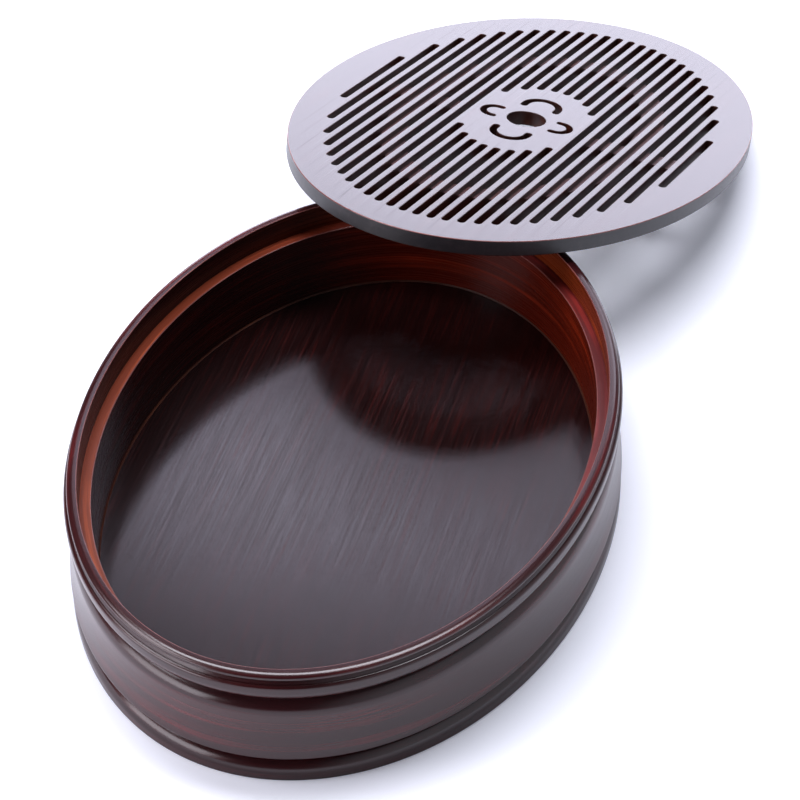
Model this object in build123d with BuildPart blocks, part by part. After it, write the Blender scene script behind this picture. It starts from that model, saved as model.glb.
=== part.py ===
from build123d import *
from math import asin, cos, degrees, hypot, radians, sin, sqrt
import os

# A gongfu tea tray: an oval box that catches the spilled tea and water, and its slotted lid,
# which is taken off and leans on the rim of the box with its far edge on the table.
# Lengths are in millimetres and angles in degrees. Z is up and X runs the long way of the box.
# The origin is the middle of the whole arrangement's bounds, on the table.

# Lid board
lid_length = 334.0
lid_width = 232.0
lid_thickness = 8.0
lid_arris = 0.6

# Slots of the lid, all along its long way, with a plain border round them
slot_pitch = 7.4
slot_width = 3.8
border_at_ends = 19.5
border_at_sides = 20.4

# Solid middle of the lid, with a finger hole and four curved drains round it
middle_length = 92.6
middle_width = 64.6
finger_hole_diameter = 21.0
end_drain_place = 20.9
end_drain_radius = 9.4
end_drain_width = 3.7
end_drain_leg = 2.3
side_drain_place = 18.4
side_drain_radius = 6.5
side_drain_width = 3.3
side_drain_leg = 1.4

# Ribs let into the underside of the lid
rib_depth = 5.0
rib_width = 13.0
rib_ring_length = 205.0
rib_ring_width = 124.5
bar_inner_end = 36.0
bar_end_border = 30.0

# Rim ring of the box: cap, groove, bead, and inside them the rebate and ledge for the lid
tray_height = 62.0
end_clearance = 1.0
side_clearance = 2.3
rim_width = 5.0
cap_height = 3.0
cap_round = 2.6
ledge_depth = 13.2
ledge_width = 5.4
ledge_web = 2.8
groove_height = 1.6
groove_inset = 1.0
bead_height = 9.5
bead_projection = 1.6
bead_round = 1.8
bead_lower_round = 7.0
neck_inset = 2.0

# Wall ring: rounded over at the top, then a waist that spreads to a sharp foot
wall_projection = 0.8
wall_round = 7.6
wall_flat = 0.4
waist_fullness = 0.15
waist_middle_height = 28.0
waist_spread = 2.6
foot_height = 1.0

# Base ring: a plinth with a round shoulder, set off from the foot of the waist by a groove
plinth_round = 7.0
base_groove_height = 3.0
base_groove_inset = 4.4

# Floor panel, and the strip of sealer round its top
floor_depth = 51.4
floor_thickness = 6.0
floor_tongue = 4.0
seal_width = 1.0
seal_height = 1.0
seal_edge = 0.2

# How the lid leans on the box
lean_length = 261.3
lean_heading = -13.9
lid_twist = 3.1
lid_side_shift = 43.9
rest_gap = 0.3

# Where the bars under the lid end
bar_outer_end = lid_width / 2 - bar_end_border

# Heights in the box
ledge_top = tray_height - ledge_depth
ring_joint = ledge_top - ledge_web
cap_bottom = tray_height - cap_height
bead_top = cap_bottom - groove_height
bead_bottom = bead_top - bead_height
floor_top = tray_height - floor_depth
wall_spring = ring_joint - wall_round - wall_flat
foot_bottom = floor_top + base_groove_height
foot_top = foot_bottom + foot_height

# How far each outline stands out from the opening that takes the lid
groove_offset = rim_width - groove_inset
bead_offset = rim_width + bead_projection
neck_offset = rim_width - neck_inset
wall_offset = rim_width + wall_projection
waist_offset = wall_offset + waist_fullness
foot_offset = rim_width + waist_spread
base_groove_offset = foot_offset - base_groove_inset


# Where the lid lies: its underside touches the rim, and its low edge touches the table
lean_tilt = degrees(asin((tray_height + rest_gap) / lean_length))
downhill = Vector(1, 0, 0).rotate(Axis.Z, lean_heading)
sideways = Vector(0, 1, 0).rotate(Axis.Z, lean_heading)
lid_normal = Vector(0, 0, 1).rotate(Axis((0, 0, 0), sideways), lean_tilt)
down_slope = sideways.cross(lid_normal)
long_way = down_slope.rotate(Axis((0, 0, 0), lid_normal), lid_twist)
short_way = lid_normal.cross(long_way)
opening_half_length = lid_length / 2 + end_clearance
opening_half_width = lid_width / 2 + side_clearance
rim_half_length = opening_half_length + rim_width
rim_half_width = opening_half_width + rim_width
rim_reach = hypot(rim_half_length * downhill.X, rim_half_width * downhill.Y)
lid_reach = hypot(lid_length / 2 * cos(radians(lid_twist)), lid_width / 2 * sin(radians(lid_twist)))
rim_contact = downhill * rim_reach + Vector(0, 0, tray_height + rest_gap)
lid_centre = rim_contact + down_slope * (lean_length - lid_reach) + sideways * lid_side_shift


def lid_extent(way):
    """How far the lid reaches from the middle of the box, in a level way."""
    outline = hypot(lid_length / 2 * long_way.dot(way), lid_width / 2 * short_way.dot(way))
    return lid_centre.dot(way) + outline + max(0, lid_normal.dot(way)) * lid_thickness


def middle_shift(box_half, way):
    """How far the box stands from the middle of the arrangement, along a level way."""
    return (max(box_half, lid_extent(-way)) - max(box_half, lid_extent(way))) / 2


plinth_half_length = opening_half_length + foot_offset
plinth_half_width = opening_half_width + foot_offset
box_middle = Vector(
    middle_shift(plinth_half_length, Vector(1, 0, 0)),
    middle_shift(plinth_half_width, Vector(0, 1, 0)),
    0,
)
lid_plane = Plane(origin=box_middle + lid_centre, x_dir=long_way, z_dir=lid_normal)


def level(height):
    """Level plane through the box at a height."""
    return Plane(origin=box_middle + Vector(0, 0, height))


def oval(growth):
    """Outline of the opening that takes the lid, grown or shrunk alike all round."""
    Ellipse(opening_half_length + growth, opening_half_width + growth)


def outer_edge(part, height):
    """The outermost of the edges that lie flat at a height."""
    flat = part.edges().filter_by_position(Axis.Z, height, height)
    return flat.sort_by(Edge.length)[-1]


def finish(part, name):
    """Names a finished piece and writes its file."""
    part.label = name
    export_step(part, f"parts/{name}.step")
    print(name, round(part.volume))


os.makedirs("parts", exist_ok=True)

# Rim ring
with BuildPart() as rim_ring:
    with BuildSketch(level(bead_bottom)):
        oval(bead_offset)
    extrude(amount=bead_height)
    fillet(outer_edge(rim_ring, bead_top), bead_round)
    fillet(outer_edge(rim_ring, bead_bottom), bead_lower_round)
    with BuildSketch(level(ring_joint)):
        oval(neck_offset)
    extrude(amount=bead_bottom - ring_joint)
    with BuildSketch(level(bead_top)):
        oval(groove_offset)
    extrude(amount=groove_height)
    with BuildSketch(level(cap_bottom)):
        oval(rim_width)
    extrude(amount=cap_height)
    fillet(outer_edge(rim_ring, tray_height), cap_round)
    with BuildSketch(level(ledge_top)):
        oval(0)
    extrude(amount=ledge_depth, mode=Mode.SUBTRACT)
    with BuildSketch(level(ring_joint)):
        oval(-ledge_width)
    extrude(amount=ledge_web, mode=Mode.SUBTRACT)
finish(rim_ring.part, "rim_ring")

# Wall ring
with BuildPart() as wall_ring:
    with BuildSketch(level(wall_spring)):
        oval(wall_offset)
    extrude(amount=wall_round + wall_flat)
    fillet(outer_edge(wall_ring, ring_joint), wall_round)
    with BuildSketch(level(wall_spring)):
        oval(wall_offset)
    with BuildSketch(level(waist_middle_height)):
        oval(waist_offset)
    with BuildSketch(level(foot_top)):
        oval(foot_offset)
    loft()
    with BuildSketch(level(foot_bottom)):
        oval(foot_offset)
    extrude(amount=foot_height)
    with BuildSketch(level(floor_top)):
        oval(base_groove_offset)
    extrude(amount=foot_bottom - floor_top)
    with BuildSketch(level(floor_top)):
        oval(-ledge_width)
    extrude(amount=ring_joint - floor_top, mode=Mode.SUBTRACT)
finish(wall_ring.part, "wall_ring")

# Base ring, rebated for the floor panel
with BuildPart() as base_ring:
    with BuildSketch(level(0)):
        oval(foot_offset)
    extrude(amount=floor_top)
    fillet(outer_edge(base_ring, floor_top), plinth_round)
    with BuildSketch(level(0)):
        oval(-ledge_width)
    extrude(amount=floor_top, mode=Mode.SUBTRACT)
    with BuildSketch(level(floor_top)):
        oval(floor_tongue - ledge_width)
    extrude(amount=-floor_thickness, mode=Mode.SUBTRACT)
finish(base_ring.part, "base_ring")

# Floor panel
with BuildPart() as floor_panel:
    with BuildSketch(level(floor_top)):
        oval(floor_tongue - ledge_width)
    extrude(amount=-floor_thickness)
finish(floor_panel.part, "floor_panel")

# Strip of sealer in the corner between the floor and the wall
with BuildPart() as floor_seal:
    with BuildSketch(level(floor_top)):
        oval(-ledge_width)
    extrude(amount=seal_height)
    with BuildSketch(level(floor_top)):
        oval(-ledge_width - seal_width)
    with BuildSketch(level(floor_top + seal_height)):
        oval(-ledge_width - seal_edge)
    loft(mode=Mode.SUBTRACT)
finish(floor_seal.part, "floor_seal")


def slots():
    """Every slot of the lid, whole beside the solid middle and in two where they meet it."""
    tips_length, tips_width = lid_length / 2 - border_at_ends, lid_width / 2 - border_at_sides
    rows = int(tips_width / slot_pitch + 1 / 2)
    for row in range(-rows, rows):
        across = (row + 1 / 2) * slot_pitch
        outer = tips_length * sqrt(max(0, 1 - (across / tips_width) ** 2))
        inner = middle_length / 2 * sqrt(max(0, 1 - (across / middle_width * 2) ** 2))
        spans = [(-outer, -inner), (inner, outer)] if inner else [(-outer, outer)]
        for start, end in spans:
            if end - start > slot_width:
                with Locations(((start + end) / 2, across)):
                    SlotOverall(end - start, slot_width)


def curved_drain(place, radius, leg, width, turn):
    """A drain bent round to face the finger hole."""
    with BuildLine() as route:
        Line((place - leg, radius), (place, radius))
        CenterArc((place, 0), radius, 90, -180)
        Line((place, -radius), (place - leg, -radius))
    SlotArc(route.wire().rotate(Axis.Z, turn), width)


def rib_ring():
    """Outline of the oval rib under the lid."""
    Ellipse((rib_ring_length + rib_width) / 2, (rib_ring_width + rib_width) / 2)
    Ellipse(
        (rib_ring_length - rib_width) / 2,
        (rib_ring_width - rib_width) / 2,
        mode=Mode.SUBTRACT,
    )


def bars(mode, sides=(-1, 1)):
    """Outlines of the bars, from the solid middle of the lid out to its border."""
    middle, length = (bar_inner_end + bar_outer_end) / 2, bar_outer_end - bar_inner_end
    for side in sides:
        with Locations((0, side * middle)):
            Rectangle(rib_width, length, mode=mode)


# Lid board
with BuildPart() as lid_board:
    with BuildSketch(lid_plane):
        Ellipse(lid_length / 2, lid_width / 2)
    extrude(amount=lid_thickness)
    fillet(lid_board.edges().group_by(Edge.length)[-1], lid_arris)
    with BuildSketch(lid_plane):
        slots()
        Circle(finger_hole_diameter / 2)
        for turn in (0, 180):
            curved_drain(end_drain_place, end_drain_radius, end_drain_leg, end_drain_width, turn)
        for turn in (90, 270):
            curved_drain(side_drain_place, side_drain_radius, side_drain_leg, side_drain_width, turn)
    extrude(amount=lid_thickness, mode=Mode.SUBTRACT)
    with BuildSketch(lid_plane):
        rib_ring()
        bars(Mode.ADD)
    extrude(amount=rib_depth, mode=Mode.SUBTRACT)
finish(lid_board.part, "lid_board")

# Half rings under the lid, one each side of the bars
for name, side in (("left_rib", -1), ("right_rib", 1)):
    with BuildPart() as half_ring:
        with BuildSketch(lid_plane):
            rib_ring()
            bars(Mode.SUBTRACT)
            with Locations((-side * rib_ring_length / 2, 0)):
                Rectangle(rib_ring_length, rib_ring_length, mode=Mode.SUBTRACT)
        extrude(amount=rib_depth)
    finish(half_ring.part, name)

# Bars under the lid, one each side of the solid middle
for name, side in (("front_bar", -1), ("back_bar", 1)):
    with BuildPart() as bar:
        with BuildSketch(lid_plane):
            bars(Mode.ADD, (side,))
        extrude(amount=rib_depth)
    finish(bar.part, name)
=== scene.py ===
from math import cos, pi, radians, sin, sqrt

import bmesh
import bpy
from mathutils import Euler, Matrix, Vector


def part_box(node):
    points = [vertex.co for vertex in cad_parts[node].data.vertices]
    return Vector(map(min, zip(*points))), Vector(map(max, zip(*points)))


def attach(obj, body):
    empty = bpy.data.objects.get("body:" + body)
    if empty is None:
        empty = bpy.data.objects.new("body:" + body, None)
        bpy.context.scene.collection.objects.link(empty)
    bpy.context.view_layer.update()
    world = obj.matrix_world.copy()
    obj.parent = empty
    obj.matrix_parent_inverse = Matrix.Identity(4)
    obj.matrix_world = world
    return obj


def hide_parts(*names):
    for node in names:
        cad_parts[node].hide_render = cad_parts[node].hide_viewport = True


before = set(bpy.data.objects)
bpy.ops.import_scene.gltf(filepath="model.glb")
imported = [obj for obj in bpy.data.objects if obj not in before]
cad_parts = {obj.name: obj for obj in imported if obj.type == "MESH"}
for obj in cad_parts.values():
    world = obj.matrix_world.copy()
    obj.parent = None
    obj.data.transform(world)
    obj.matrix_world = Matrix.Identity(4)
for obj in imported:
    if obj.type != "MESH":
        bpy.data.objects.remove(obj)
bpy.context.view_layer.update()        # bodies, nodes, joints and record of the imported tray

mm = 0.001
weldDistance = 0.001 * mm
sharpAngle = radians(40)
scene = bpy.context.scene

# The oval that takes the lid: every ring of the box is this oval, grown or shrunk all round. Its reach is the
# radius that it has where the grain is laid out round the rings.
rimLow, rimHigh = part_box("rim_ring")
oval = {"beadStandsOut": 6.6 * mm, "segments": 320, "roundingSteps": 5, "reach": 0.145}
oval["middle"] = Vector(((rimLow.x + rimHigh.x) / 2, (rimLow.y + rimHigh.y) / 2, 0))
oval["halfLength"] = (rimHigh.x - rimLow.x) / 2 - oval["beadStandsOut"]
oval["halfWidth"] = (rimHigh.y - rimLow.y) / 2 - oval["beadStandsOut"]

# where the lid lies: middle of its underside, and its turns about x, y and z
lidLies = {
    "place": Vector((138.985938, -14.000367, 39.786543)) * mm,
    "turn": [radians(angle) for angle in (0.76065, 13.7729, -10.70816)],
}


def addNode(tree, kind, at=(0, 0), **settings):
    item = tree.nodes.new(kind)
    item.location = at
    for name, value in settings.items():
        setattr(item, name, value)
    return item


# links what comes from another node, and sets a constant on the socket itself
def feed(tree, value, socket):
    if isinstance(value, bpy.types.NodeSocket):
        tree.links.new(value, socket)
    elif value is not None:
        socket.default_value = value


def mathNode(tree, operation, first, second=None, third=None, at=(0, 0), clamp=False):
    item = addNode(tree, "ShaderNodeMath", at, operation=operation, use_clamp=clamp)
    for value, socket in zip((first, second, third), item.inputs):
        feed(tree, value, socket)
    return item.outputs[0]


def vectorNode(tree, operation, first, second=None, scale=None, at=(0, 0)):
    item = addNode(tree, "ShaderNodeVectorMath", at, operation=operation)
    feed(tree, first, item.inputs[0])
    feed(tree, second, item.inputs[1])
    if scale is not None:
        feed(tree, scale, item.inputs["Scale"])
    return item.outputs["Value" if operation in ("LENGTH", "DOT_PRODUCT") else "Vector"]


def rangeNode(tree, value, before, after=(0, 1), at=(0, 0), kind="LINEAR"):
    item = addNode(tree, "ShaderNodeMapRange", at, interpolation_type=kind)
    feed(tree, value, item.inputs["Value"])
    for label, limit in zip(("From Min", "From Max", "To Min", "To Max"), (*before, *after)):
        feed(tree, limit, item.inputs[label])
    return item.outputs["Result"]


# Mix lists the sockets of every kind, so those of one kind are found by number
def mixNode(tree, kind, factor, first, second, at=(0, 0)):
    item = addNode(tree, "ShaderNodeMix", at, data_type=kind)
    socket, result = {"FLOAT": (2, 0), "RGBA": (6, 2)}[kind]
    feed(tree, factor, item.inputs["Factor"])
    feed(tree, first, item.inputs[socket])
    feed(tree, second, item.inputs[socket + 1])
    return item.outputs[result]


# the shader groups are built once and shared by the finishes
def newGroup(name, inputs, outputs):
    tree = bpy.data.node_groups.new(name, "ShaderNodeTree")
    for label, kind, value in inputs:
        socket = tree.interface.new_socket(name=label, in_out="INPUT", socket_type=kind)
        socket.default_value = value
    for label, kind in outputs:
        tree.interface.new_socket(name=label, in_out="OUTPUT", socket_type=kind)
    return tree, addNode(tree, "NodeGroupInput", (-900, 0)), addNode(tree, "NodeGroupOutput", (900, 0))


# turns object places into places round the rings: x and y run round the oval, z runs across it
def makeRingSpace():
    tree, start, end = newGroup(
        "ringSpace",
        [("Vector", "NodeSocketVector", (0, 0, 0)), ("Reach", "NodeSocketFloat", oval["reach"])],
        [("Vector", "NodeSocketVector")],
    )
    reach = start.outputs["Reach"]
    toRound = (1 / oval["halfLength"], 1 / oval["halfWidth"], 1)
    centred = vectorNode(tree, "SUBTRACT", start.outputs["Vector"], oval["middle"], at=(-700, 0))
    rounded = vectorNode(tree, "MULTIPLY", centred, toRound, at=(-520, 0))
    flat = vectorNode(tree, "MULTIPLY", rounded, (1, 1, 0), at=(-340, 120))
    length = vectorNode(tree, "LENGTH", flat, at=(-160, 0))
    heading = vectorNode(tree, "NORMALIZE", flat, at=(-160, 160))
    around = vectorNode(tree, "SCALE", heading, scale=reach, at=(20, 160))
    split = addNode(tree, "ShaderNodeSeparateXYZ", (200, 160))
    height = addNode(tree, "ShaderNodeSeparateXYZ", (-340, -160))
    joined = addNode(tree, "ShaderNodeCombineXYZ", (700, 0))
    tree.links.new(around, split.inputs[0])
    tree.links.new(centred, height.inputs[0])
    outward = mathNode(tree, "MULTIPLY", length, reach, at=(20, -60))
    across = mathNode(tree, "ADD", outward, height.outputs["Z"], at=(200, -60))
    tree.links.new(split.outputs["X"], joined.inputs["X"])
    tree.links.new(split.outputs["Y"], joined.inputs["Y"])
    tree.links.new(across, joined.inputs["Z"])
    tree.links.new(joined.outputs[0], end.inputs["Vector"])
    return tree


# long fibres, broad streaks and clouds of straight-grained wood, from places already laid along the grain; the
# limits are what becomes 0 and 1 of each noise
grainNoises = {
    "Fibre": dict(scale=1, detail=3, roughness=0.7, distortion=0.15, limits=(0.36, 0.64)),
    "Streak": dict(scale=1, detail=4, roughness=0.62, distortion=0, limits=(0.5, 0.68)),
    "Cloud": dict(scale=22, detail=2, roughness=0.5, distortion=0, limits=(0.35, 0.65)),
}


def makeStraightGrain():
    tree, start, end = newGroup(
        "straightGrain",
        [
            ("Vector", "NodeSocketVector", (0, 0, 0)),
            ("Stretch", "NodeSocketVector", (1, 1, 1)),
            ("Streak Size", "NodeSocketFloat", 6.0),
        ],
        [("Fibre", "NodeSocketFloat"), ("Streak", "NodeSocketFloat"), ("Cloud", "NodeSocketFloat")],
    )
    places = start.outputs["Vector"]
    laid = vectorNode(tree, "MULTIPLY", places, start.outputs["Stretch"], at=(-700, 0))
    spread = addNode(tree, "ShaderNodeCombineXYZ", (-740, -260))
    spread.inputs["X"].default_value = 1
    tree.links.new(start.outputs["Streak Size"], spread.inputs["Y"])
    tree.links.new(start.outputs["Streak Size"], spread.inputs["Z"])
    wider = vectorNode(tree, "DIVIDE", laid, spread.outputs[0], at=(-560, -160))
    for label, vector, row in (("Fibre", laid, 200), ("Streak", wider, -160), ("Cloud", places, -460)):
        facts = grainNoises[label]
        noise = addNode(tree, "ShaderNodeTexNoise", (-400, row))
        tree.links.new(vector, noise.inputs["Vector"])
        for setting in ("Scale", "Detail", "Roughness", "Distortion"):
            noise.inputs[setting].default_value = facts[setting.lower()]
        tree.links.new(rangeNode(tree, noise.outputs[0], facts["limits"], at=(0, row)), end.inputs[label])
    return tree


# dark stain with the warm wood showing through where it is thin: streaks within the clouds, and fibres all over
stainMix = {"fibre": 0.55, "betweenFibres": 0.45, "cloud": 0.7, "betweenClouds": 0.3, "allOver": 0.25}


def makeStain():
    tree, start, end = newGroup(
        "stainOverWood",
        [
            ("Dark", "NodeSocketColor", (0.02, 0.01, 0.01, 1)),
            ("Warm", "NodeSocketColor", (0.1, 0.02, 0.015, 1)),
            ("Fibre", "NodeSocketFloat", 0.5),
            ("Streak", "NodeSocketFloat", 0.5),
            ("Cloud", "NodeSocketFloat", 0.5),
            ("Thinness", "NodeSocketFloat", 0.4),
        ],
        [("Color", "NodeSocketColor"), ("Gloss Loss", "NodeSocketFloat")],
    )
    fibre = mathNode(
        tree, "MULTIPLY_ADD", start.outputs["Fibre"], stainMix["fibre"], stainMix["betweenFibres"], at=(-600, 200))
    streak = mathNode(tree, "MULTIPLY", start.outputs["Streak"], fibre, at=(-420, 120))
    cloud = mathNode(
        tree, "MULTIPLY_ADD", start.outputs["Cloud"], stainMix["cloud"], stainMix["betweenClouds"], at=(-600, -80))
    warmth = mathNode(tree, "MULTIPLY", streak, cloud, at=(-240, 60))
    base = mathNode(tree, "MULTIPLY", fibre, stainMix["allOver"], at=(-240, -120))
    shown = mathNode(tree, "ADD", warmth, base, at=(-60, 0))
    amount = mathNode(tree, "MULTIPLY", shown, start.outputs["Thinness"], at=(120, 0), clamp=True)
    mixed = mixNode(tree, "RGBA", amount, start.outputs["Dark"], start.outputs["Warm"], at=(320, 120))
    tree.links.new(mixed, end.inputs["Color"])
    tree.links.new(start.outputs["Fibre"], end.inputs["Gloss Loss"])
    return tree


ringSpace, straightGrain, stain = makeRingSpace(), makeStraightGrain(), makeStain()
print("shader groups made: 3")

# the finishes: dark stain, the wood under it, how thin the stain is, roughness from and to, length and width of
# the grain and depth of its relief in millimetres, dull for a weaker sheen. A round finish runs round the oval and
# an onLid one lies on the lid. One with colours of painted light and shade turns to them towards the back right of
# the box: painted light on the inner and rebate walls, lighter and more orange there, and painted shade on the
# ledge.
finishes = {
    "rimLacquer": dict(
        dark=(0.009, 0.0022, 0.0030), warm=(0.16, 0.012, 0.012), thinness=0.6, gloss=(0.19, 0.23),
        length=60, width=0.7, relief=0.0004, round=True),
    "wallLacquer": dict(
        dark=(0.010, 0.0030, 0.0040), warm=(0.18, 0.015, 0.017), thinness=0.55, gloss=(0.20, 0.25),
        length=110, width=0.9, relief=0.0007, round=True),
    "plinthLacquer": dict(
        dark=(0.007, 0.0016, 0.0024), warm=(0.15, 0.011, 0.012), thinness=0.55, gloss=(0.19, 0.24),
        length=70, width=0.7, relief=0.0006, round=True),
    "innerLacquer": dict(
        dark=(0.006, 0.0008, 0.0009), warm=(0.08, 0.0065, 0.004), thinness=0.9, gloss=(0.22, 0.32),
        length=90, width=0.9, relief=0.004, dull=0.3, round=True,
        # painted light: towards the back right the inner wall turns lighter and more orange
        paintedLightAndShade=((0.044, 0.0030, 0.0012), (0.27, 0.023, 0.005))),
    "rebateLacquer": dict(
        dark=(0.005, 0.0008, 0.0009), warm=(0.04, 0.004, 0.003), thinness=0.9, gloss=(0.24, 0.34),
        length=90, width=0.9, relief=0.004, dull=0.3, round=True,
        # painted light: towards the back right the rebate wall glows orange
        paintedLightAndShade=((0.055, 0.0070, 0.0018), (0.46, 0.070, 0.012))),
    "ledgeWood": dict(
        dark=(0.11, 0.017, 0.007), warm=(0.44, 0.085, 0.024), thinness=1.0, gloss=(0.32, 0.44),
        length=80, width=0.6, relief=0.008, dull=0.25, round=True,
        # painted shade: towards the back right the ledge turns darker
        paintedLightAndShade=((0.045, 0.0045, 0.0045), (0.22, 0.018, 0.014))),
    # partly wear, partly painted highlight: a pale line along the arrises of the rim, the ledge and the lid's top
    # edge
    "arrisWearAndHighlight": dict(
        dark=(0.11, 0.032, 0.030), warm=(0.30, 0.10, 0.08), thinness=1.0, gloss=(0.20, 0.30),
        length=50, width=0.4, relief=0.003, round=True),
    "floorLacquer": dict(
        dark=(0.0016, 0.0007, 0.0009), warm=(0.046, 0.0045, 0.0035), thinness=0.65, gloss=(0.17, 0.25),
        length=38, width=0.45, streak=2.2, relief=0.0028),
    "sealer": dict(
        dark=(0.030, 0.008, 0.005), warm=(0.10, 0.030, 0.014), thinness=1.0, gloss=(0.35, 0.45),
        length=40, width=2.0, relief=0.004, dull=0.15, round=True),
    "lidLacquer": dict(
        dark=(0.034, 0.022, 0.032), warm=(0.070, 0.030, 0.036), thinness=0.6, gloss=(0.262, 0.272),
        length=60, width=0.6, relief=0.0002, onLid=True),
    "lidSide": dict(
        dark=(0.008, 0.007, 0.009), warm=(0.032, 0.024, 0.027), thinness=0.8, gloss=(0.30, 0.40),
        length=2.5, width=0.8, relief=0.012, onLid=True),
    "lidUnder": dict(
        dark=(0.010, 0.004, 0.004), warm=(0.060, 0.014, 0.010), thinness=0.7, gloss=(0.40, 0.50),
        length=60, width=0.6, relief=0.004, dull=0.2, onLid=True),
    "slotWood": dict(
        dark=(0.013, 0.004, 0.003), warm=(0.13, 0.024, 0.011), thinness=0.6, gloss=(0.35, 0.45),
        length=30, width=0.6, relief=0.006, dull=0.3, onLid=True),
    "ribWood": dict(
        dark=(0.050, 0.022, 0.024), warm=(0.16, 0.055, 0.045), thinness=0.8, gloss=(0.28, 0.38),
        length=30, width=0.6, relief=0.006, onLid=True),
}
usual = {"ior": 1.5, "dull": 0.5, "streak": 6, "round": False, "onLid": False, "paintedLightAndShade": None}
# painted light and shade: the side towards which those colours turn, and how wide the turn is
paintedLightDirection = {"towards": (0.45, -0.89, 0), "fade": (-0.09, 0.08)}


def addStain(tree, grain, dark, warm, thinness, at):
    item = addNode(tree, "ShaderNodeGroup", at, node_tree=stain)
    item.inputs["Dark"].default_value = (*dark, 1)
    item.inputs["Warm"].default_value = (*warm, 1)
    item.inputs["Thinness"].default_value = thinness
    for label in ("Fibre", "Streak", "Cloud"):
        tree.links.new(grain.outputs[label], item.inputs[label])
    return item


def makeFinish(name):
    facts = {**usual, **finishes[name]}
    material = bpy.data.materials.new(name)
    material.use_nodes = True
    tree = material.node_tree
    shader = tree.nodes["Principled BSDF"]
    shader.inputs["IOR"].default_value = facts["ior"]
    shader.inputs["Specular IOR Level"].default_value = facts["dull"]
    places = addNode(tree, "ShaderNodeTexCoord", (-1500, 0))
    grain = addNode(tree, "ShaderNodeGroup", (-900, 0), node_tree=straightGrain)
    along, across = 1 / (facts["length"] * mm), 1 / (facts["width"] * mm)
    if facts["round"]:
        turned = addNode(tree, "ShaderNodeGroup", (-1200, 0), node_tree=ringSpace)
        grain.inputs["Stretch"].default_value = (along, along, across)
    else:
        turned = addNode(tree, "ShaderNodeMapping", (-1200, 0), vector_type="TEXTURE")
        turned.inputs["Location"].default_value = lidLies["place"] if facts["onLid"] else oval["middle"]
        if facts["onLid"]:
            turned.inputs["Rotation"].default_value = lidLies["turn"]
        grain.inputs["Stretch"].default_value = (along, across, across)
    tree.links.new(places.outputs["Object"], turned.inputs["Vector"])
    grain.inputs["Streak Size"].default_value = facts["streak"]
    tree.links.new(turned.outputs["Vector"], grain.inputs["Vector"])
    stained = addStain(tree, grain, facts["dark"], facts["warm"], facts["thinness"], (-600, 0))
    colour = stained.outputs["Color"]
    # painted light and shade: towards the back right the colour turns to the second pair of colours
    if facts["paintedLightAndShade"]:
        paintedLightAndShade = addStain(tree, grain, *facts["paintedLightAndShade"], facts["thinness"], (-600, 300))
        towards = vectorNode(tree, "DOT_PRODUCT", turned.outputs["Vector"], paintedLightDirection["towards"], at=(-900, 400))
        side = rangeNode(tree, towards, paintedLightDirection["fade"], at=(-600, 500), kind="SMOOTHSTEP")
        colour = mixNode(tree, "RGBA", side, colour, paintedLightAndShade.outputs["Color"], at=(-300, 200))
    tree.links.new(colour, shader.inputs["Base Color"])
    rough = rangeNode(tree, stained.outputs["Gloss Loss"], (0, 1), facts["gloss"], at=(-300, -120))
    tree.links.new(rough, shader.inputs["Roughness"])
    bump = addNode(tree, "ShaderNodeBump", (-300, -360))
    bump.inputs["Distance"].default_value = facts["relief"] * mm
    tree.links.new(grain.outputs["Fibre"], bump.inputs["Height"])
    tree.links.new(bump.outputs["Normal"], shader.inputs["Normal"])
    return material


materials = {name: makeFinish(name) for name in finishes}
print("finishes made:", len(materials))


def weighNormals(piece):
    weighted = piece.modifiers.new("flatFaces", "WEIGHTED_NORMAL")
    weighted.keep_sharp = True


def finishObject(mesh, name, body, nodes, skins):
    for skin in skins:
        mesh.materials.append(materials[skin])
    mesh.shade_smooth()
    mesh.set_sharp_from_angle(angle=sharpAngle)
    piece = bpy.data.objects.new(name, mesh)
    scene.collection.objects.link(piece)
    weighNormals(piece)
    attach(piece, body)
    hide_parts(*nodes)
    print(name, len(mesh.polygons), "faces")
    return piece


# one oval loop after another, each drawn out of the last, then closed and its corners rounded
def makeRing(outline, skins):
    bm = bmesh.new()
    out, up = outline[0][:2]
    reach = (oval["halfLength"] + out * mm, oval["halfWidth"] + out * mm)
    made = bmesh.ops.create_circle(bm, cap_ends=False, radius=1, segments=oval["segments"])
    bmesh.ops.scale(bm, vec=(*reach, 1), verts=made["verts"])
    bmesh.ops.translate(bm, vec=(0, 0, up * mm), verts=made["verts"])
    loops = [list(bm.edges)]
    for (_, lastUp, _, skin), (out, up, *_) in zip(outline, outline[1:]):
        newReach = (oval["halfLength"] + out * mm, oval["halfWidth"] + out * mm)
        made = bmesh.ops.extrude_edge_only(bm, edges=loops[-1])["geom"]
        verts = [item for item in made if isinstance(item, bmesh.types.BMVert)]
        newVerts = set(verts)
        edges = [item for item in made if isinstance(item, bmesh.types.BMEdge)]
        loops.append([edge for edge in edges if newVerts.issuperset(edge.verts)])
        for face in (item for item in made if isinstance(item, bmesh.types.BMFace)):
            face.material_index = skins.index(skin)
        bmesh.ops.scale(bm, vec=(newReach[0] / reach[0], newReach[1] / reach[1], 1), verts=verts)
        bmesh.ops.translate(bm, vec=(0, 0, up * mm - lastUp * mm), verts=verts)
        reach = newReach
    closing = bmesh.ops.bridge_loops(bm, edges=loops[-1] + loops[0])
    for face in closing["faces"]:
        face.material_index = skins.index(outline[-1][3])
    for loop, (_, _, rounding, _) in zip(loops, outline):
        if rounding:
            size, roundedSkin = rounding
            made = bmesh.ops.bevel(
                bm, geom=loop, offset=size * mm, offset_type="OFFSET", profile=0.5,
                segments=oval["roundingSteps"], affect="EDGES", clamp_overlap=False, material=-1,
            )
            for face in made["faces"]:
                face.material_index = skins.index(roundedSkin)
    bmesh.ops.translate(bm, vec=oval["middle"], verts=bm.verts)
    return bm


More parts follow.
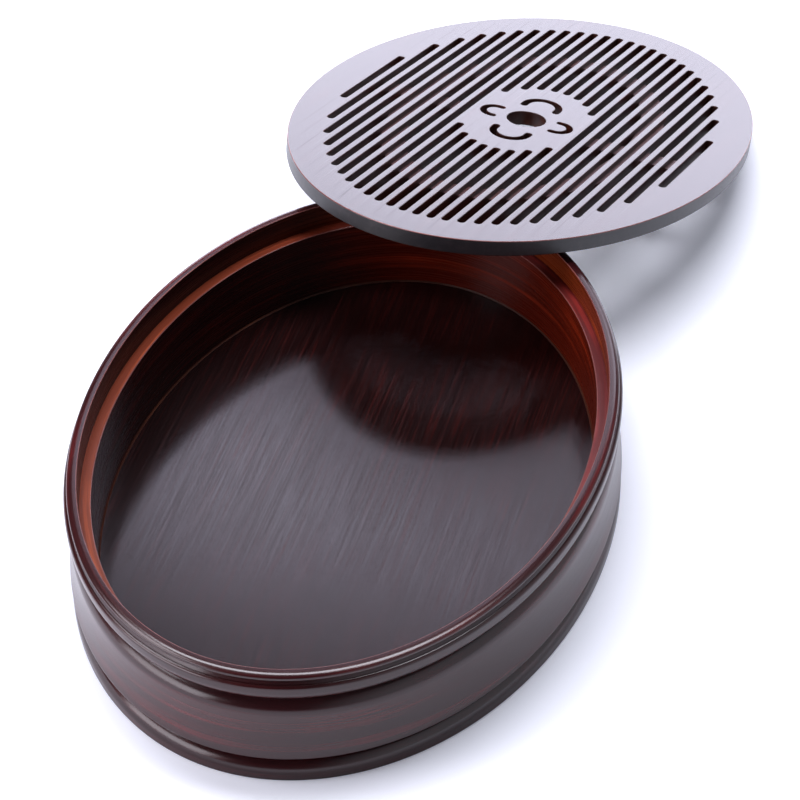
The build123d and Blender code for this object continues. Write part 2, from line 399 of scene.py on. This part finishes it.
def addRing(outline, name, nodes, skins):
    bm = makeRing(outline, skins)
    bmesh.ops.remove_doubles(bm, verts=bm.verts, dist=weldDistance)
    bmesh.ops.recalc_face_normals(bm, faces=bm.faces)
    mesh = bpy.data.meshes.new(name)
    bm.to_mesh(mesh)
    bm.free()
    finishObject(mesh, name, "box", nodes, skins)


# points along an arc of a moulding: its middle out and up, radius, first and last slope of the face, and steps
def roundOf(skin, middleOut, middleUp, radius, startSlope, endSlope, steps):
    slopes = [radians(startSlope + (endSlope - startSlope) * step / steps) for step in range(steps + 1)]
    return [(middleOut + radius * cos(slope), middleUp + radius * sin(slope), None, skin) for slope in slopes]


# The rings' outlines are in millimetres. Each point says how far out of the oval it lies and how high, the size
# and skin of its rounding, and the skin of the face that follows. The seams are the heights where rings meet.
seams = {"wallTop": 46.0, "plinthTop": 10.6, "wellOut": -5.4}

# rim ring, from its inner top edge outwards: cap, bead, neck, then underneath to the ledge and the rebate
rimRing = {
    # the arris skin is partly wear, partly a painted highlight
    "top": 62, "arris": (0.4, "arrisWearAndHighlight"), "ledgeUp": 48.8, "grooveOut": 4, "grooveUp": 59,
    "capTop": (1.9, 57.0, 5.0, 90, 64, 8), "capEdge": (3.70, 60.38, 1.17, 56, 0, 5),
    "capUnder": (3.92, 60.0, 0.95, -15, -90, 5),
    "beadTop": (4.8, 55.5, 1.8, 88, 0, 8), "beadUnder": (0.2, 53.4, 6.4, 0, -76, 14),
    "neckOut": 1.5, "neckUp": 47.0,
    "skins": ["rimLacquer", "innerLacquer", "arrisWearAndHighlight", "ledgeWood", "rebateLacquer"],
}
rimOutline = [
    (0, rimRing["top"], rimRing["arris"], "rimLacquer"),
    *roundOf("rimLacquer", *rimRing["capTop"]),
    *roundOf("rimLacquer", *rimRing["capEdge"]),
    *roundOf("rimLacquer", *rimRing["capUnder"]),
    (rimRing["grooveOut"], rimRing["grooveUp"], None, "rimLacquer"),
    *roundOf("rimLacquer", *rimRing["beadTop"]),
    *roundOf("rimLacquer", *rimRing["beadUnder"]),
    (rimRing["neckOut"], rimRing["neckUp"], None, "rimLacquer"),
    (rimRing["neckOut"], seams["wallTop"], None, "innerLacquer"),
    (seams["wellOut"], seams["wallTop"], None, "innerLacquer"),
    (seams["wellOut"], rimRing["ledgeUp"], rimRing["arris"], "ledgeWood"),
    (0, rimRing["ledgeUp"], None, "rebateLacquer"),
]
addRing(rimOutline, "rimRing", ["rim_ring"], rimRing["skins"])

# wall ring: rounded over at the top, then a waist through three points that spreads to the foot
wallRing = {
    "topOut": -1.8, "shoulder": (-1.8, 38.4, 7.6, 84, 0, 14),
    "waistUp": 38.0, "waistOut": 5.8, "middleUp": 28.0, "middleOut": 5.95, "footUp": 14.6, "footOut": 7.6,
    "steps": 16, "footUnder": 13.6, "footEdge": (0.3, "wallLacquer"), "footUnderEdge": (0.4, "wallLacquer"),
    "grooveOut": 3.2, "skins": ["wallLacquer", "innerLacquer"],
}
upperSlope = (wallRing["middleOut"] - wallRing["waistOut"]) / (wallRing["middleUp"] - wallRing["waistUp"])
wholeSlope = (wallRing["footOut"] - wallRing["waistOut"]) / (wallRing["footUp"] - wallRing["waistUp"])
bend = (wholeSlope - upperSlope) / (wallRing["footUp"] - wallRing["middleUp"])
waistCurve = []
for step in range(1, wallRing["steps"]):
    up = wallRing["waistUp"] + (wallRing["footUp"] - wallRing["waistUp"]) * step / wallRing["steps"]
    below = up - wallRing["waistUp"]
    out = wallRing["waistOut"] + upperSlope * below + bend * below * (up - wallRing["middleUp"])
    waistCurve.append((out, up, None, "wallLacquer"))
wallOutline = [
    (wallRing["topOut"], seams["wallTop"], None, "wallLacquer"),
    *roundOf("wallLacquer", *wallRing["shoulder"]),
    *waistCurve,
    (wallRing["footOut"], wallRing["footUp"], wallRing["footEdge"], "wallLacquer"),
    (wallRing["footOut"], wallRing["footUnder"], wallRing["footUnderEdge"], "wallLacquer"),
    (wallRing["grooveOut"], wallRing["footUnder"], None, "wallLacquer"),
    (wallRing["grooveOut"], seams["plinthTop"], None, "innerLacquer"),
    (seams["wellOut"], seams["plinthTop"], None, "innerLacquer"),
    (seams["wellOut"], seams["wallTop"], None, "wallLacquer"),
]
addRing(wallOutline, "wallRing", ["wall_ring"], wallRing["skins"])

# base ring: a plinth with a round shoulder, rebated for the floor
baseRing = {
    "topOut": 0.6, "shoulder": (0.6, 3.6, 7.0, 84, 0, 16), "footOut": 7.6, "footEdge": (0.5, "plinthLacquer"),
    "rebateOut": -1.4, "rebateUp": 4.6, "skins": ["plinthLacquer"],
}
baseOutline = [
    (baseRing["topOut"], seams["plinthTop"], None, "plinthLacquer"),
    *roundOf("plinthLacquer", *baseRing["shoulder"]),
    (baseRing["footOut"], 0, baseRing["footEdge"], "plinthLacquer"),
    (seams["wellOut"], 0, None, "plinthLacquer"),
    (seams["wellOut"], baseRing["rebateUp"], None, "plinthLacquer"),
    (baseRing["rebateOut"], baseRing["rebateUp"], None, "plinthLacquer"),
    (baseRing["rebateOut"], seams["plinthTop"], None, "plinthLacquer"),
]
addRing(baseOutline, "baseRing", ["base_ring"], baseRing["skins"])

# bead of sealer on the floor, a little hollow like one drawn with a finger
sealBead = {"top": 11.3, "topOut": -5.5, "hollow": (-5.7, 10.85), "toeOut": -6.1, "skins": ["sealer"]}
sealOutline = [
    (seams["wellOut"], seams["plinthTop"], None, "sealer"),
    (seams["wellOut"], sealBead["top"], None, "sealer"),
    (sealBead["topOut"], sealBead["top"], None, "sealer"),
    (*sealBead["hollow"], None, "sealer"),
    (sealBead["toeOut"], seams["plinthTop"], None, "sealer"),
]
addRing(sealOutline, "floorSeal", ["floor_seal"], sealBead["skins"])

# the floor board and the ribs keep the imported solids, with a finish of their own
keptSkins = {
    "floor_panel": "floorLacquer",
    "left_rib": "ribWood", "right_rib": "ribWood", "front_bar": "ribWood", "back_bar": "ribWood",
}
for name, skin in keptSkins.items():
    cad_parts[name].data.materials.clear()
    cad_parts[name].data.materials.append(materials[skin])
print("packed solids finished:", len(keptSkins))

# lid board: a flat filled outline with its holes, given its thickness and soft edges, then cut for the ribs
lid = {
    "halfLength": 167 * mm, "halfWidth": 116 * mm, "thickness": 8 * mm, "arris": 0.4 * mm, "steps": 320,
    "slotPitch": 7.4 * mm, "slotWidth": 3.8 * mm, "borderAtEnds": 19.5 * mm, "borderAtSides": 20.4 * mm,
    "middleLength": 92.6 * mm, "middleWidth": 64.6 * mm, "fingerHole": 21 * mm, "fingerHoleSteps": 64,
    "slotSteps": 12, "drainSteps": 28, "drainTipSteps": 8,
    "drains": [  # place, radius, leg and width of each, and its turn
        (20.9 * mm, 9.4 * mm, 2.3 * mm, 3.7 * mm, 0), (20.9 * mm, 9.4 * mm, 2.3 * mm, 3.7 * mm, 180),
        (18.4 * mm, 6.5 * mm, 1.4 * mm, 3.3 * mm, 90), (18.4 * mm, 6.5 * mm, 1.4 * mm, 3.3 * mm, 270),
    ],
    "ribDepth": 5 * mm, "ribWidth": 13 * mm, "ribLength": 205 * mm, "ribAcross": 124.5 * mm,
    "barInner": 36 * mm, "barOuter": 86 * mm, "cutBelow": 2 * mm, "cutterSteps": 256,
    "edgeShare": 0.985, "upright": 0.2, "level": 0.98,
    "skins": ["lidLacquer", "lidSide", "slotWood", "arrisWearAndHighlight", "lidUnder"],
}


def addLoop(curve, points):
    spline = curve.splines.new("POLY")
    spline.points.add(len(points) - 1)
    for point, (x, y) in zip(spline.points, points):
        point.co = (x, y, 0, 1)
    spline.use_cyclic_u = True


def arc(middle, radius, start, end, steps):
    angles = [radians(start + (end - start) * step / steps) for step in range(steps + 1)]
    return [(middle[0] + radius * cos(angle), middle[1] + radius * sin(angle)) for angle in angles]


def slotLoop(start, end, across, half):
    points = arc((end - half, across), half, -90, 90, lid["slotSteps"])
    return points + arc((start + half, across), half, 90, 270, lid["slotSteps"])


def drainLoop(place, radius, leg, width, turn):
    half = width / 2
    points = arc((place, 0), radius + half, 90, -90, lid["drainSteps"])
    points += arc((place - leg, -radius), half, -90, -270, lid["drainTipSteps"])
    points += arc((place, 0), radius - half, -90, 90, lid["drainSteps"])
    points += arc((place - leg, radius), half, -90, -270, lid["drainTipSteps"])
    angle = radians(turn)
    return [(x * cos(angle) - y * sin(angle), x * sin(angle) + y * cos(angle)) for x, y in points]


# half the length of an oval at a distance from its long axis
def halfAcross(halfLength, share):
    return halfLength * sqrt(max(0, 1 - share ** 2))


def curveToMesh(curve, name):
    drawn = bpy.data.objects.new(name, curve)
    scene.collection.objects.link(drawn)
    depsgraph = bpy.context.evaluated_depsgraph_get()
    mesh = bpy.data.meshes.new_from_object(drawn.evaluated_get(depsgraph))
    mesh.name = name
    bpy.data.objects.remove(drawn)
    return mesh


def makeLidBoard():
    curve = bpy.data.curves.new("lidOutline", "CURVE")
    curve.dimensions, curve.fill_mode = "2D", "BOTH"
    curve.extrude = lid["thickness"] / 2 - lid["arris"]
    curve.bevel_depth, curve.bevel_resolution = lid["arris"], 2
    curve.offset = -lid["arris"]
    angles = [2 * pi * step / lid["steps"] for step in range(lid["steps"])]
    addLoop(curve, [(lid["halfLength"] * cos(angle), lid["halfWidth"] * sin(angle)) for angle in angles])
    tipsLength, tipsWidth = lid["halfLength"] - lid["borderAtEnds"], lid["halfWidth"] - lid["borderAtSides"]
    rows = int(tipsWidth / lid["slotPitch"] + 0.5)
    for row in range(-rows, rows):
        across = (row + 0.5) * lid["slotPitch"]
        outer = halfAcross(tipsLength, across / tipsWidth)
        inner = halfAcross(lid["middleLength"] / 2, across / lid["middleWidth"] * 2)
        for start, end in [(-outer, -inner), (inner, outer)] if inner else [(-outer, outer)]:
            if end - start > lid["slotWidth"]:
                addLoop(curve, slotLoop(start, end, across, lid["slotWidth"] / 2))
    steps = lid["fingerHoleSteps"]
    addLoop(curve, arc((0, 0), lid["fingerHole"] / 2, 0, 360 - 360 / steps, steps - 1))
    for drain in lid["drains"]:
        addLoop(curve, drainLoop(*drain))
    return curveToMesh(curve, "lidBoard")


# the faces take their skins from where they look: top, outer side, slots and holes, worn arris with a painted
# highlight, and underside
def skinLid(board):
    bm = bmesh.new()
    bm.from_mesh(board)
    bmesh.ops.remove_doubles(bm, verts=bm.verts, dist=weldDistance)
    bmesh.ops.translate(bm, vec=(0, 0, lid["thickness"] / 2), verts=bm.verts)
    for face in bm.faces:
        middle = face.calc_center_median()
        share = (middle.x / lid["halfLength"]) ** 2 + (middle.y / lid["halfWidth"]) ** 2
        nearEdge = share > lid["edgeShare"]
        if abs(face.normal.z) < lid["upright"]:
            skin = "lidSide" if nearEdge else "slotWood"
        elif abs(face.normal.z) < lid["level"]:
            # the lid's top outer bevel gets the arris skin: partly wear, partly a painted highlight
            skin = "arrisWearAndHighlight" if nearEdge and middle.z > lid["thickness"] / 2 else "slotWood"
        else:
            skin = "lidUnder" if face.normal.z < 0 else "lidLacquer"
        face.material_index = lid["skins"].index(skin)
    bm.to_mesh(board)
    bm.free()


# what the ribs fill is cut out of the underside
def makeRibCutter():
    bm = bmesh.new()
    for wider in (lid["ribWidth"], -lid["ribWidth"]):
        loop = bmesh.ops.create_circle(bm, cap_ends=False, radius=1, segments=lid["cutterSteps"])["verts"]
        reach = ((lid["ribLength"] + wider) / 2, (lid["ribAcross"] + wider) / 2, 1)
        bmesh.ops.scale(bm, vec=reach, verts=loop)
    bmesh.ops.bridge_loops(bm, edges=bm.edges[:])
    made = bmesh.ops.extrude_face_region(bm, geom=bm.faces[:])["geom"]
    raised = [item for item in made if isinstance(item, bmesh.types.BMVert)]
    bmesh.ops.translate(bm, vec=(0, 0, lid["ribDepth"] + lid["cutBelow"]), verts=raised)
    bmesh.ops.translate(bm, vec=(0, 0, -lid["cutBelow"]), verts=bm.verts)
    bmesh.ops.recalc_face_normals(bm, faces=bm.faces)
    return bm


def makeBarCutter():
    bm = bmesh.new()
    length, height = lid["barOuter"] - lid["barInner"], lid["ribDepth"] + lid["cutBelow"]
    for side in (-1, 1):
        made = bmesh.ops.create_cube(bm, size=1)["verts"]
        middle = (0, side * (lid["barInner"] + lid["barOuter"]) / 2, height / 2 - lid["cutBelow"])
        bmesh.ops.scale(bm, vec=(lid["ribWidth"], length, height), verts=made)
        bmesh.ops.translate(bm, vec=middle, verts=made)
    return bm


board = makeLidBoard()
skinLid(board)
lidBoard = finishObject(board, "lidBoard", "lid", ["lid_board"], lid["skins"])
lidBoard.modifiers.clear()
for cutterName, maker in (("ribCutter", makeRibCutter), ("barCutter", makeBarCutter)):
    cutterMesh = bpy.data.meshes.new(cutterName)
    cutterBm = maker()
    cutterBm.to_mesh(cutterMesh)
    cutterBm.free()
    cutter = bpy.data.objects.new(cutterName, cutterMesh)
    scene.collection.objects.link(cutter)
    cut = lidBoard.modifiers.new(cutterName, "BOOLEAN")
    cut.operation, cut.solver, cut.object = "DIFFERENCE", "EXACT", cutter
    depsgraph = bpy.context.evaluated_depsgraph_get()
    result = bpy.data.meshes.new_from_object(lidBoard.evaluated_get(depsgraph))
    lidBoard.modifiers.clear()
    lidBoard.data = result
    bpy.data.objects.remove(cutter)
    print(cutterName, "cut, faces", len(result.polygons))
lidBoard.data.name = "lidBoard"
lidBoard.data.transform(Matrix.LocRotScale(lidLies["place"], Euler(lidLies["turn"]), None))
lidBoard.data.set_sharp_from_angle(angle=sharpAngle)
weighNormals(lidBoard)

# the table is pale. The camera sees it lifted towards white, more so away from the tray, and mirrors see it
# lifted a little, while the shadows of the tray stay
table = {
    "radius": 6, "segments": 64, "top": -0.0002, "colour": (0.88, 0.90, 0.95), "glow": (0.82, 0.85, 1.0),
    "away": (0.42, 1.6), "lift": (0.17, 1.0), "mirroredLift": 0.04,
}
floorMesh = bpy.data.meshes.new("tableTop")
bm = bmesh.new()
bmesh.ops.create_circle(bm, cap_ends=True, radius=table["radius"], segments=table["segments"])
bm.to_mesh(floorMesh)
bm.free()
floor = bpy.data.objects.new("tableTop", floorMesh)
floor.location = (0, 0, table["top"])
scene.collection.objects.link(floor)
tableWhite = bpy.data.materials.new("tableWhite")
tableWhite.use_nodes = True
tree = tableWhite.node_tree
tree.nodes.clear()
diffuse = addNode(tree, "ShaderNodeBsdfDiffuse", (-300, 100))
diffuse.inputs["Color"].default_value = (*table["colour"], 1)
glow = addNode(tree, "ShaderNodeEmission", (-300, -100))
glow.inputs["Color"].default_value = (*table["glow"], 1)
path = addNode(tree, "ShaderNodeLightPath", (-900, -100)).outputs
mirrored = mathNode(tree, "ADD", path["Is Glossy Ray"], path["Is Transmission Ray"], at=(-700, -100), clamp=True)
mirroredLift = mathNode(tree, "MULTIPLY", mirrored, table["mirroredLift"], at=(-560, -100))
places = addNode(tree, "ShaderNodeTexCoord", (-1300, 200))
distance = vectorNode(tree, "LENGTH", places.outputs["Object"], at=(-1100, 200))
away = rangeNode(tree, distance, table["away"], table["lift"], at=(-900, 200), kind="SMOOTHSTEP")
lift = mathNode(tree, "MULTIPLY_ADD", path["Is Camera Ray"], away, mirroredLift, at=(-430, -200))
tree.links.new(lift, glow.inputs["Strength"])
both = addNode(tree, "ShaderNodeAddShader", (0, 0))
output = addNode(tree, "ShaderNodeOutputMaterial", (200, 0))
tree.links.new(diffuse.outputs[0], both.inputs[0])
tree.links.new(glow.outputs[0], both.inputs[1])
tree.links.new(both.outputs[0], output.inputs["Surface"])
floorMesh.materials.append(tableWhite)

# the room is white to the camera. Otherwise it is dim in front of the tray and paler behind it, and what is
# mirrored of it is pale low down behind the tray and at its right
room = {
    "colour": (0.86, 0.90, 1.0), "toCamera": 1.0, "inFront": 0.05, "behind": 0.3, "depth": (-0.1, 0.6),
    "heights": (0.30, 0.08), "behindMirrored": (0.06, 0.85), "right": (-0.30, -0.80), "rightMirrored": 0.9,
}
world = bpy.data.worlds.new("studio")
scene.world = world
world.use_nodes = True
tree = world.node_tree
tree.nodes.clear()
places = addNode(tree, "ShaderNodeTexCoord", (-1100, 100))
heading = addNode(tree, "ShaderNodeSeparateXYZ", (-900, 100))
tree.links.new(places.outputs["Generated"], heading.inputs[0])
path = addNode(tree, "ShaderNodeLightPath", (-1100, -200)).outputs
mirrored = mathNode(tree, "ADD", path["Is Glossy Ray"], path["Is Transmission Ray"], at=(-900, -200), clamp=True)
backdrop = rangeNode(tree, heading.outputs["Z"], room["heights"], room["behindMirrored"], at=(-700, -350))
behind = mixNode(tree, "FLOAT", mirrored, room["behind"], backdrop, at=(-520, -200))
depth = rangeNode(tree, heading.outputs["X"], room["depth"], (room["inFront"], behind), at=(-700, 100))
rightEnd = mathNode(tree, "MULTIPLY", mirrored, room["rightMirrored"], at=(-900, 350))
right = rangeNode(tree, heading.outputs["Y"], room["right"], (0, rightEnd), at=(-700, 350))
paler = mathNode(tree, "MAXIMUM", depth, right, at=(-520, 200))
strength = mixNode(tree, "FLOAT", path["Is Camera Ray"], paler, room["toCamera"], at=(-400, 0))
sky = addNode(tree, "ShaderNodeBackground", (-200, 0))
sky.inputs["Color"].default_value = (*room["colour"], 1)
tree.links.new(strength, sky.inputs["Strength"])
output = addNode(tree, "ShaderNodeOutputWorld", (200, 0))
tree.links.new(sky.outputs[0], output.inputs["Surface"])
print("table and room made")

# bright panels behind the tray, low, middling and high, a broad one overhead and two at the left
lamps = {
    "backLow": dict(
        place=(1.30, 0.15, 0.27), aim=(0.1, 0, 0.05), size=(1.6, 0.5), power=13.0, colour=(0.85, 0.845, 1.0)),
    "backMiddle": dict(
        place=(1.30, -0.10, 1.05), aim=(0.30, -0.10, 1.05), size=(0.58, 0.45), power=4.0, colour=(0.88, 0.83, 1.0)),
    "backHigh": dict(
        place=(1.30, 0.52, 1.48), aim=(0.30, 0.52, 1.48), size=(0.68, 0.24), power=2.9, colour=(0.84, 0.80, 1.0)),
    "backSmall": dict(
        place=(1.29, 0.59, 1.31), aim=(0.29, 0.59, 1.31), size=(0.19, 0.15), power=0.5, colour=(0.84, 0.80, 1.0)),
    "overhead": dict(
        place=(0.30, 0.15, 1.9), aim=(0.30, 0.15, 0), size=(0.62, 1.7), power=48, colour=(0.92, 0.92, 1.0)),
    "leftHigh": dict(
        place=(-0.40, 0.87, 1.05), aim=(-0.10, 0, 0.03), size=(0.7, 0.5), power=9, colour=(0.95, 0.92, 1.0)),
    "leftFront": dict(
        place=(-0.98, 0.93, 0.34), aim=(-0.126, 0, 0.03), size=(1.0, 0.60), power=11, colour=(0.95, 0.92, 1.0)),
}
for name, facts in lamps.items():
    light = bpy.data.lights.new(name, "AREA")
    light.shape = "RECTANGLE"
    light.size, light.size_y = facts["size"]
    light.energy = facts["power"]
    light.color = facts["colour"]
    lamp = bpy.data.objects.new(name, light)
    lamp.location = facts["place"]
    lamp.rotation_euler = (Vector(facts["aim"]) - Vector(facts["place"])).to_track_quat("-Z", "Y").to_euler()
    lamp.visible_camera = False
    scene.collection.objects.link(lamp)
print("lamps placed:", len(lamps))

# the camera as fitted to the photograph
view = {
    "place": (-1.01063, -0.28208, 0.8724), "turn": (49.0719, 1.0769, -74.3677), "lens": 119.64, "sensor": 36,
}
cameraData = bpy.data.cameras.new("camera")
cameraData.lens = view["lens"]
cameraData.sensor_width = view["sensor"]
camera = bpy.data.objects.new("camera", cameraData)
camera.location = view["place"]
camera.rotation_euler = [radians(angle) for angle in view["turn"]]
scene.collection.objects.link(camera)
scene.camera = camera
scene.view_settings.view_transform = "Standard"
